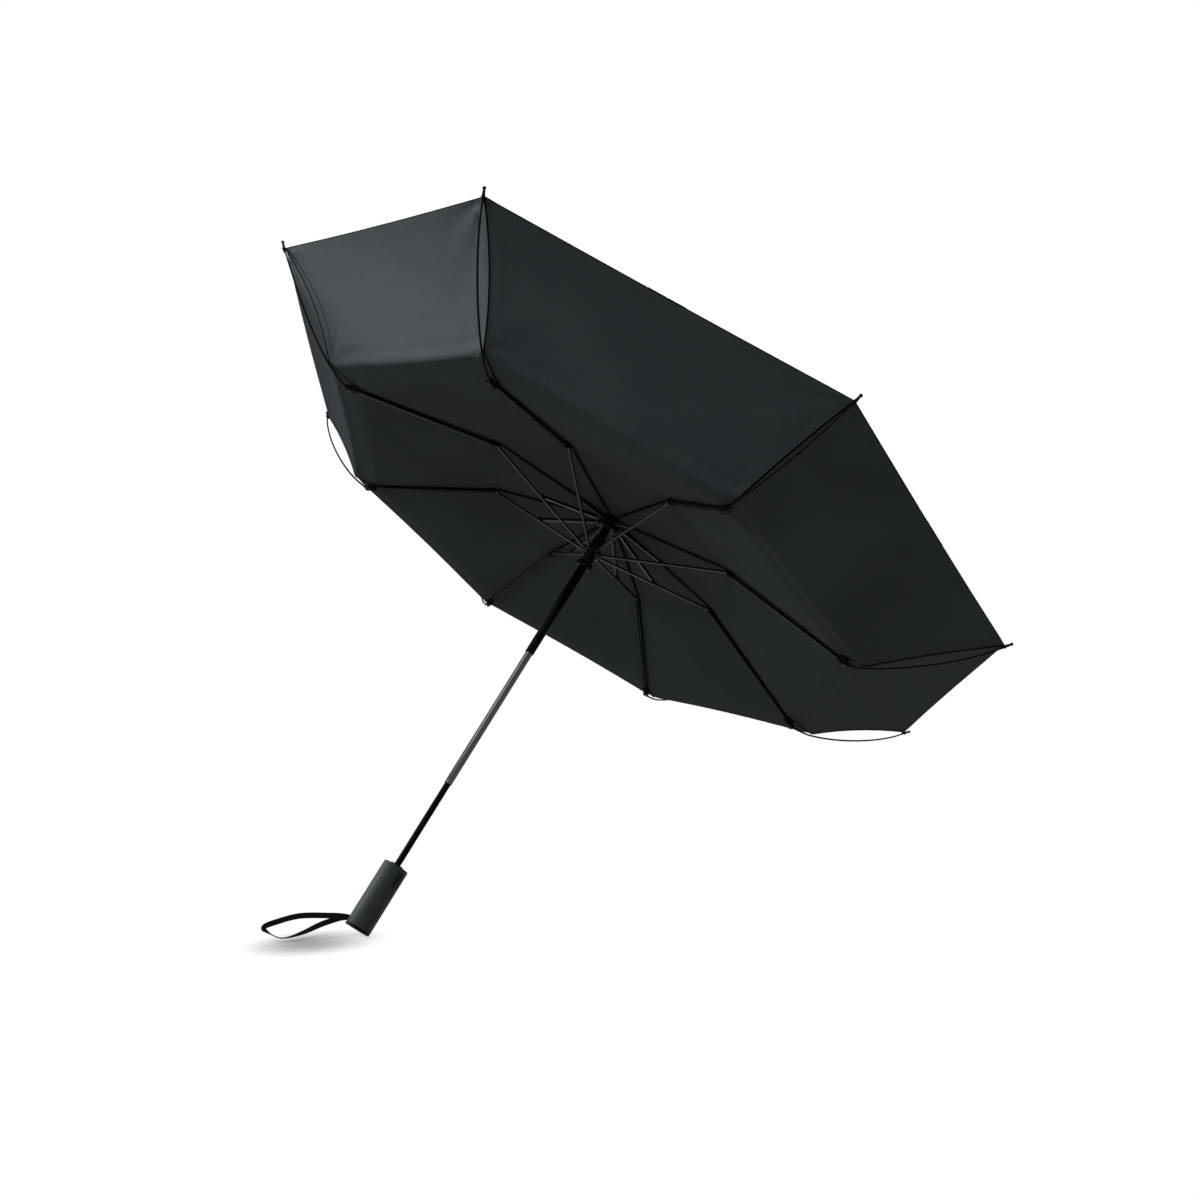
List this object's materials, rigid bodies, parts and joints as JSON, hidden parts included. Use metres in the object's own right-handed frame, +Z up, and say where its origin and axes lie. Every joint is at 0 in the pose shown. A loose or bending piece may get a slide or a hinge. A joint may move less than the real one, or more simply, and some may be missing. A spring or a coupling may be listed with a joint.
{
  "type": "folding umbrella",
  "caption": "Compact three-section folding umbrella with a straight push-button handle and a flat wrist strap, shown open with the outer third of its canopy blown inside out.",
  "frame": {"origin": "centre of the flat bottom face of the handle's end cap, on the shaft's axis", "axes": "+Z runs up the shaft from the handle to the top cap, -X points from the handle to the wrist strap, +Y completes the right-handed frame"},
  "size_m": [0.9052, 0.9052, 0.627],
  "materials": {
    "handle_plastic": "soft-touch moulded, dark grey",
    "dark_plastic": "moulded black",
    "black_steel": "black coated steel, satin",
    "grey_steel": "satin grey metal tube",
    "rod_fibre": "black glass-fibre rod",
    "canopy_cloth": "dark charcoal plain-weave cloth",
    "strap_webbing": "black woven flat webbing"
  },
  "bodies": {
    "handle": {"grip": "handle_plastic", "end_cap": "dark_plastic", "handle_collar": "dark_plastic", "lower_tube": "black_steel"},
    "button": {"push_button": "handle_plastic"},
    "strap": {"wrist_strap": "strap_webbing"},
    "middle_shaft": {"middle_tube": "grey_steel"},
    "top_shaft": {"top_tube": "black_steel", "crown": "dark_plastic", "top_cap": "dark_plastic", "canopy": "canopy_cloth"},
    "runner": {"runner": "dark_plastic"},
    "top_rib_1": {"top_rib_1": "black_steel"},
    "stretcher_1": {"stretcher_1": "black_steel"},
    "link_rod_1": {"link_rod_1": "black_steel"},
    "mid_rib_1": {"mid_rib_1": "black_steel"},
    "knuckle_1": {"knuckle_1": "dark_plastic"},
    "outer_rib_1": {"outer_rib_1": "rod_fibre"},
    "top_rib_2": {"top_rib_2": "black_steel"},
    "stretcher_2": {"stretcher_2": "black_steel"},
    "link_rod_2": {"link_rod_2": "black_steel"},
    "mid_rib_2": {"mid_rib_2": "black_steel"},
    "knuckle_2": {"knuckle_2": "dark_plastic"},
    "outer_rib_2": {"outer_rib_2": "rod_fibre"},
    "top_rib_3": {"top_rib_3": "black_steel"},
    "stretcher_3": {"stretcher_3": "black_steel"},
    "link_rod_3": {"link_rod_3": "black_steel"},
    "mid_rib_3": {"mid_rib_3": "black_steel"},
    "knuckle_3": {"knuckle_3": "dark_plastic"},
    "outer_rib_3": {"outer_rib_3": "rod_fibre"},
    "top_rib_4": {"top_rib_4": "black_steel"},
    "stretcher_4": {"stretcher_4": "black_steel"},
    "link_rod_4": {"link_rod_4": "black_steel"},
    "mid_rib_4": {"mid_rib_4": "black_steel"},
    "knuckle_4": {"knuckle_4": "dark_plastic"},
    "outer_rib_4": {"outer_rib_4": "rod_fibre"},
    "top_rib_5": {"top_rib_5": "black_steel"},
    "stretcher_5": {"stretcher_5": "black_steel"},
    "link_rod_5": {"link_rod_5": "black_steel"},
    "mid_rib_5": {"mid_rib_5": "black_steel"},
    "knuckle_5": {"knuckle_5": "dark_plastic"},
    "outer_rib_5": {"outer_rib_5": "rod_fibre"},
    "top_rib_6": {"top_rib_6": "black_steel"},
    "stretcher_6": {"stretcher_6": "black_steel"},
    "link_rod_6": {"link_rod_6": "black_steel"},
    "mid_rib_6": {"mid_rib_6": "black_steel"},
    "knuckle_6": {"knuckle_6": "dark_plastic"},
    "outer_rib_6": {"outer_rib_6": "rod_fibre"},
    "top_rib_7": {"top_rib_7": "black_steel"},
    "stretcher_7": {"stretcher_7": "black_steel"},
    "link_rod_7": {"link_rod_7": "black_steel"},
    "mid_rib_7": {"mid_rib_7": "black_steel"},
    "knuckle_7": {"knuckle_7": "dark_plastic"},
    "outer_rib_7": {"outer_rib_7": "rod_fibre"},
    "top_rib_8": {"top_rib_8": "black_steel"},
    "stretcher_8": {"stretcher_8": "black_steel"},
    "link_rod_8": {"link_rod_8": "black_steel"},
    "mid_rib_8": {"mid_rib_8": "black_steel"},
    "knuckle_8": {"knuckle_8": "dark_plastic"},
    "outer_rib_8": {"outer_rib_8": "rod_fibre"}
  },
  "joints": [
    {"name": "button_press", "type": "slide", "parent": "handle", "child": "button", "axis": [-0.8192, 0.5736, 0], "range_m": [0, 0.002], "stiffness_N_per_m": 800},
    {"name": "strap_swing", "type": "hinge", "parent": "handle", "child": "strap", "pos_m": [-0.0135, 0, 0.008], "axis": [0, 0, 1], "range_deg": [-25, 25]},
    {"name": "middle_tube_slide", "type": "slide", "parent": "handle", "child": "middle_shaft", "axis": [0, 0, -1], "range_m": [0, 0.1022]},
    {"name": "top_tube_slide", "type": "slide", "parent": "middle_shaft", "child": "top_shaft", "axis": [0, 0, -1], "range_m": [0, 0.176]},
    {"name": "runner_slide", "type": "slide", "parent": "top_shaft", "child": "runner", "axis": [0, 0, -1], "range_m": [0, 0.11937], "deforming": ["canopy"]},
    {"name": "top_rib_1_fold", "type": "hinge", "parent": "top_shaft", "child": "top_rib_1", "pos_m": [0.01109, 0.00459, 0.5495], "axis": [0.3827, -0.9239, 0], "range_deg": [-70.48, 0]},
    {"name": "stretcher_1_fold", "type": "hinge", "parent": "top_rib_1", "child": "stretcher_1", "pos_m": [0.08343, 0.03456, 0.524], "axis": [0.3827, -0.9239, 0], "range_deg": [0, 146.2]},
    {"name": "link_rod_1_fold", "type": "hinge", "parent": "top_rib_1", "child": "link_rod_1", "pos_m": [0.08129, 0.03367, 0.52676], "axis": [0.3827, -0.9239, 0], "range_deg": [0, 146.2]},
    {"name": "mid_rib_1_fold", "type": "hinge", "parent": "stretcher_1", "child": "mid_rib_1", "pos_m": [0.15189, 0.06291, 0.54075], "axis": [0.3827, -0.9239, 0], "range_deg": [-145.72, 0]},
    {"name": "knuckle_1_fold", "type": "hinge", "parent": "mid_rib_1", "child": "knuckle_1", "pos_m": [0.30487, 0.12628, 0.48784], "axis": [0.3827, -0.9239, 0], "range_deg": [0, 131.52]},
    {"name": "outer_rib_1_flip", "type": "hinge", "parent": "knuckle_1", "child": "outer_rib_1", "pos_m": [0.31631, 0.13102, 0.48388], "axis": [0.3827, -0.9239, 0], "range_deg": [-70, 0], "deforming": ["canopy"]},
    {"name": "top_rib_2_fold", "type": "hinge", "parent": "top_shaft", "child": "top_rib_2", "pos_m": [0.00459, 0.01109, 0.5495], "axis": [0.9239, -0.3827, 0], "range_deg": [-70.48, 0]},
    {"name": "stretcher_2_fold", "type": "hinge", "parent": "top_rib_2", "child": "stretcher_2", "pos_m": [0.03456, 0.08343, 0.524], "axis": [0.9239, -0.3827, 0], "range_deg": [0, 146.2]},
    {"name": "link_rod_2_fold", "type": "hinge", "parent": "top_rib_2", "child": "link_rod_2", "pos_m": [0.03367, 0.08129, 0.52676], "axis": [0.9239, -0.3827, 0], "range_deg": [0, 146.2]},
    {"name": "mid_rib_2_fold", "type": "hinge", "parent": "stretcher_2", "child": "mid_rib_2", "pos_m": [0.06291, 0.15189, 0.54075], "axis": [0.9239, -0.3827, 0], "range_deg": [-145.72, 0]},
    {"name": "knuckle_2_fold", "type": "hinge", "parent": "mid_rib_2", "child": "knuckle_2", "pos_m": [0.12628, 0.30487, 0.48784], "axis": [0.9239, -0.3827, 0], "range_deg": [0, 131.52]},
    {"name": "outer_rib_2_flip", "type": "hinge", "parent": "knuckle_2", "child": "outer_rib_2", "pos_m": [0.13102, 0.31631, 0.48388], "axis": [0.9239, -0.3827, 0], "range_deg": [-70, 0]},
    {"name": "top_rib_3_fold", "type": "hinge", "parent": "top_shaft", "child": "top_rib_3", "pos_m": [-0.00459, 0.01109, 0.5495], "axis": [0.9239, 0.3827, 0], "range_deg": [-70.48, 0]},
    {"name": "stretcher_3_fold", "type": "hinge", "parent": "top_rib_3", "child": "stretcher_3", "pos_m": [-0.03456, 0.08343, 0.524], "axis": [0.9239, 0.3827, 0], "range_deg": [0, 146.2]},
    {"name": "link_rod_3_fold", "type": "hinge", "parent": "top_rib_3", "child": "link_rod_3", "pos_m": [-0.03367, 0.08129, 0.52676], "axis": [0.9239, 0.3827, 0], "range_deg": [0, 146.2]},
    {"name": "mid_rib_3_fold", "type": "hinge", "parent": "stretcher_3", "child": "mid_rib_3", "pos_m": [-0.06291, 0.15189, 0.54075], "axis": [0.9239, 0.3827, 0], "range_deg": [-145.72, 0]},
    {"name": "knuckle_3_fold", "type": "hinge", "parent": "mid_rib_3", "child": "knuckle_3", "pos_m": [-0.12628, 0.30487, 0.48784], "axis": [0.9239, 0.3827, 0], "range_deg": [0, 131.52]},
    {"name": "outer_rib_3_flip", "type": "hinge", "parent": "knuckle_3", "child": "outer_rib_3", "pos_m": [-0.13102, 0.31631, 0.48388], "axis": [0.9239, 0.3827, 0], "range_deg": [-70, 0]},
    {"name": "top_rib_4_fold", "type": "hinge", "parent": "top_shaft", "child": "top_rib_4", "pos_m": [-0.01109, 0.00459, 0.5495], "axis": [0.3827, 0.9239, 0], "range_deg": [-70.48, 0]},
    {"name": "stretcher_4_fold", "type": "hinge", "parent": "top_rib_4", "child": "stretcher_4", "pos_m": [-0.08343, 0.03456, 0.524], "axis": [0.3827, 0.9239, 0], "range_deg": [0, 146.2]},
    {"name": "link_rod_4_fold", "type": "hinge", "parent": "top_rib_4", "child": "link_rod_4", "pos_m": [-0.08129, 0.03367, 0.52676], "axis": [0.3827, 0.9239, 0], "range_deg": [0, 146.2]},
    {"name": "mid_rib_4_fold", "type": "hinge", "parent": "stretcher_4", "child": "mid_rib_4", "pos_m": [-0.15189, 0.06291, 0.54075], "axis": [0.3827, 0.9239, 0], "range_deg": [-145.72, 0]},
    {"name": "knuckle_4_fold", "type": "hinge", "parent": "mid_rib_4", "child": "knuckle_4", "pos_m": [-0.30487, 0.12628, 0.48784], "axis": [0.3827, 0.9239, 0], "range_deg": [0, 131.52]},
    {"name": "outer_rib_4_flip", "type": "hinge", "parent": "knuckle_4", "child": "outer_rib_4", "pos_m": [-0.31631, 0.13102, 0.48388], "axis": [0.3827, 0.9239, 0], "range_deg": [-70, 0]},
    {"name": "top_rib_5_fold", "type": "hinge", "parent": "top_shaft", "child": "top_rib_5", "pos_m": [-0.01109, -0.00459, 0.5495], "axis": [-0.3827, 0.9239, 0], "range_deg": [-70.48, 0]},
    {"name": "stretcher_5_fold", "type": "hinge", "parent": "top_rib_5", "child": "stretcher_5", "pos_m": [-0.08343, -0.03456, 0.524], "axis": [-0.3827, 0.9239, 0], "range_deg": [0, 146.2]},
    {"name": "link_rod_5_fold", "type": "hinge", "parent": "top_rib_5", "child": "link_rod_5", "pos_m": [-0.08129, -0.03367, 0.52676], "axis": [-0.3827, 0.9239, 0], "range_deg": [0, 146.2]},
    {"name": "mid_rib_5_fold", "type": "hinge", "parent": "stretcher_5", "child": "mid_rib_5", "pos_m": [-0.15189, -0.06291, 0.54075], "axis": [-0.3827, 0.9239, 0], "range_deg": [-145.72, 0]},
    {"name": "knuckle_5_fold", "type": "hinge", "parent": "mid_rib_5", "child": "knuckle_5", "pos_m": [-0.30487, -0.12628, 0.48784], "axis": [-0.3827, 0.9239, 0], "range_deg": [0, 131.52]},
    {"name": "outer_rib_5_flip", "type": "hinge", "parent": "knuckle_5", "child": "outer_rib_5", "pos_m": [-0.31631, -0.13102, 0.48388], "axis": [-0.3827, 0.9239, 0], "range_deg": [-70, 0]},
    {"name": "top_rib_6_fold", "type": "hinge", "parent": "top_shaft", "child": "top_rib_6", "pos_m": [-0.00459, -0.01109, 0.5495], "axis": [-0.9239, 0.3827, 0], "range_deg": [-70.48, 0]},
    {"name": "stretcher_6_fold", "type": "hinge", "parent": "top_rib_6", "child": "stretcher_6", "pos_m": [-0.03456, -0.08343, 0.524], "axis": [-0.9239, 0.3827, 0], "range_deg": [0, 146.2]},
    {"name": "link_rod_6_fold", "type": "hinge", "parent": "top_rib_6", "child": "link_rod_6", "pos_m": [-0.03367, -0.08129, 0.52676], "axis": [-0.9239, 0.3827, 0], "range_deg": [0, 146.2]},
    {"name": "mid_rib_6_fold", "type": "hinge", "parent": "stretcher_6", "child": "mid_rib_6", "pos_m": [-0.06291, -0.15189, 0.54075], "axis": [-0.9239, 0.3827, 0], "range_deg": [-145.72, 0]},
    {"name": "knuckle_6_fold", "type": "hinge", "parent": "mid_rib_6", "child": "knuckle_6", "pos_m": [-0.12628, -0.30487, 0.48784], "axis": [-0.9239, 0.3827, 0], "range_deg": [0, 131.52]},
    {"name": "outer_rib_6_flip", "type": "hinge", "parent": "knuckle_6", "child": "outer_rib_6", "pos_m": [-0.13102, -0.31631, 0.48388], "axis": [-0.9239, 0.3827, 0], "range_deg": [-70, 0]},
    {"name": "top_rib_7_fold", "type": "hinge", "parent": "top_shaft", "child": "top_rib_7", "pos_m": [0.00459, -0.01109, 0.5495], "axis": [-0.9239, -0.3827, 0], "range_deg": [-70.48, 0]},
    {"name": "stretcher_7_fold", "type": "hinge", "parent": "top_rib_7", "child": "stretcher_7", "pos_m": [0.03456, -0.08343, 0.524], "axis": [-0.9239, -0.3827, 0], "range_deg": [0, 146.2]},
    {"name": "link_rod_7_fold", "type": "hinge", "parent": "top_rib_7", "child": "link_rod_7", "pos_m": [0.03367, -0.08129, 0.52676], "axis": [-0.9239, -0.3827, 0], "range_deg": [0, 146.2]},
    {"name": "mid_rib_7_fold", "type": "hinge", "parent": "stretcher_7", "child": "mid_rib_7", "pos_m": [0.06291, -0.15189, 0.54075], "axis": [-0.9239, -0.3827, 0], "range_deg": [-145.72, 0]},
    {"name": "knuckle_7_fold", "type": "hinge", "parent": "mid_rib_7", "child": "knuckle_7", "pos_m": [0.12628, -0.30487, 0.48784], "axis": [-0.9239, -0.3827, 0], "range_deg": [0, 131.52]},
    {"name": "outer_rib_7_flip", "type": "hinge", "parent": "knuckle_7", "child": "outer_rib_7", "pos_m": [0.13102, -0.31631, 0.48388], "axis": [-0.9239, -0.3827, 0], "range_deg": [-70, 0]},
    {"name": "top_rib_8_fold", "type": "hinge", "parent": "top_shaft", "child": "top_rib_8", "pos_m": [0.01109, -0.00459, 0.5495], "axis": [-0.3827, -0.9239, 0], "range_deg": [-70.48, 0]},
    {"name": "stretcher_8_fold", "type": "hinge", "parent": "top_rib_8", "child": "stretcher_8", "pos_m": [0.08343, -0.03456, 0.524], "axis": [-0.3827, -0.9239, 0], "range_deg": [0, 146.2]},
    {"name": "link_rod_8_fold", "type": "hinge", "parent": "top_rib_8", "child": "link_rod_8", "pos_m": [0.08129, -0.03367, 0.52676], "axis": [-0.3827, -0.9239, 0], "range_deg": [0, 146.2]},
    {"name": "mid_rib_8_fold", "type": "hinge", "parent": "stretcher_8", "child": "mid_rib_8", "pos_m": [0.15189, -0.06291, 0.54075], "axis": [-0.3827, -0.9239, 0], "range_deg": [-145.72, 0]},
    {"name": "knuckle_8_fold", "type": "hinge", "parent": "mid_rib_8", "child": "knuckle_8", "pos_m": [0.30487, -0.12628, 0.48784], "axis": [-0.3827, -0.9239, 0], "range_deg": [0, 131.52]},
    {"name": "outer_rib_8_flip", "type": "hinge", "parent": "knuckle_8", "child": "outer_rib_8", "pos_m": [0.31631, -0.13102, 0.48388], "axis": [-0.3827, -0.9239, 0], "range_deg": [-70, 0]}
  ],
  "couplings": [
    {"joint": "top_rib_1_fold", "follows": "runner_slide", "rad_per_m": -10.302},
    {"joint": "stretcher_1_fold", "follows": "runner_slide", "rad_per_m": 21.373},
    {"joint": "link_rod_1_fold", "follows": "runner_slide", "rad_per_m": 21.373},
    {"joint": "mid_rib_1_fold", "follows": "runner_slide", "rad_per_m": -21.303},
    {"joint": "knuckle_1_fold", "follows": "runner_slide", "rad_per_m": 19.227},
    {"joint": "top_rib_2_fold", "follows": "runner_slide", "rad_per_m": -10.302},
    {"joint": "stretcher_2_fold", "follows": "runner_slide", "rad_per_m": 21.373},
    {"joint": "link_rod_2_fold", "follows": "runner_slide", "rad_per_m": 21.373},
    {"joint": "mid_rib_2_fold", "follows": "runner_slide", "rad_per_m": -21.303},
    {"joint": "knuckle_2_fold", "follows": "runner_slide", "rad_per_m": 19.227},
    {"joint": "outer_rib_2_flip", "follows": "outer_rib_1_flip", "ratio": 1},
    {"joint": "top_rib_3_fold", "follows": "runner_slide", "rad_per_m": -10.302},
    {"joint": "stretcher_3_fold", "follows": "runner_slide", "rad_per_m": 21.373},
    {"joint": "link_rod_3_fold", "follows": "runner_slide", "rad_per_m": 21.373},
    {"joint": "mid_rib_3_fold", "follows": "runner_slide", "rad_per_m": -21.303},
    {"joint": "knuckle_3_fold", "follows": "runner_slide", "rad_per_m": 19.227},
    {"joint": "outer_rib_3_flip", "follows": "outer_rib_1_flip", "ratio": 1},
    {"joint": "top_rib_4_fold", "follows": "runner_slide", "rad_per_m": -10.302},
    {"joint": "stretcher_4_fold", "follows": "runner_slide", "rad_per_m": 21.373},
    {"joint": "link_rod_4_fold", "follows": "runner_slide", "rad_per_m": 21.373},
    {"joint": "mid_rib_4_fold", "follows": "runner_slide", "rad_per_m": -21.303},
    {"joint": "knuckle_4_fold", "follows": "runner_slide", "rad_per_m": 19.227},
    {"joint": "outer_rib_4_flip", "follows": "outer_rib_1_flip", "ratio": 1},
    {"joint": "top_rib_5_fold", "follows": "runner_slide", "rad_per_m": -10.302},
    {"joint": "stretcher_5_fold", "follows": "runner_slide", "rad_per_m": 21.373},
    {"joint": "link_rod_5_fold", "follows": "runner_slide", "rad_per_m": 21.373},
    {"joint": "mid_rib_5_fold", "follows": "runner_slide", "rad_per_m": -21.303},
    {"joint": "knuckle_5_fold", "follows": "runner_slide", "rad_per_m": 19.227},
    {"joint": "outer_rib_5_flip", "follows": "outer_rib_1_flip", "ratio": 1},
    {"joint": "top_rib_6_fold", "follows": "runner_slide", "rad_per_m": -10.302},
    {"joint": "stretcher_6_fold", "follows": "runner_slide", "rad_per_m": 21.373},
    {"joint": "link_rod_6_fold", "follows": "runner_slide", "rad_per_m": 21.373},
    {"joint": "mid_rib_6_fold", "follows": "runner_slide", "rad_per_m": -21.303},
    {"joint": "knuckle_6_fold", "follows": "runner_slide", "rad_per_m": 19.227},
    {"joint": "outer_rib_6_flip", "follows": "outer_rib_1_flip", "ratio": 1},
    {"joint": "top_rib_7_fold", "follows": "runner_slide", "rad_per_m": -10.302},
    {"joint": "stretcher_7_fold", "follows": "runner_slide", "rad_per_m": 21.373},
    {"joint": "link_rod_7_fold", "follows": "runner_slide", "rad_per_m": 21.373},
    {"joint": "mid_rib_7_fold", "follows": "runner_slide", "rad_per_m": -21.303},
    {"joint": "knuckle_7_fold", "follows": "runner_slide", "rad_per_m": 19.227},
    {"joint": "outer_rib_7_flip", "follows": "outer_rib_1_flip", "ratio": 1},
    {"joint": "top_rib_8_fold", "follows": "runner_slide", "rad_per_m": -10.302},
    {"joint": "stretcher_8_fold", "follows": "runner_slide", "rad_per_m": 21.373},
    {"joint": "link_rod_8_fold", "follows": "runner_slide", "rad_per_m": 21.373},
    {"joint": "mid_rib_8_fold", "follows": "runner_slide", "rad_per_m": -21.303},
    {"joint": "knuckle_8_fold", "follows": "runner_slide", "rad_per_m": 19.227},
    {"joint": "outer_rib_8_flip", "follows": "outer_rib_1_flip", "ratio": 1}
  ]
}
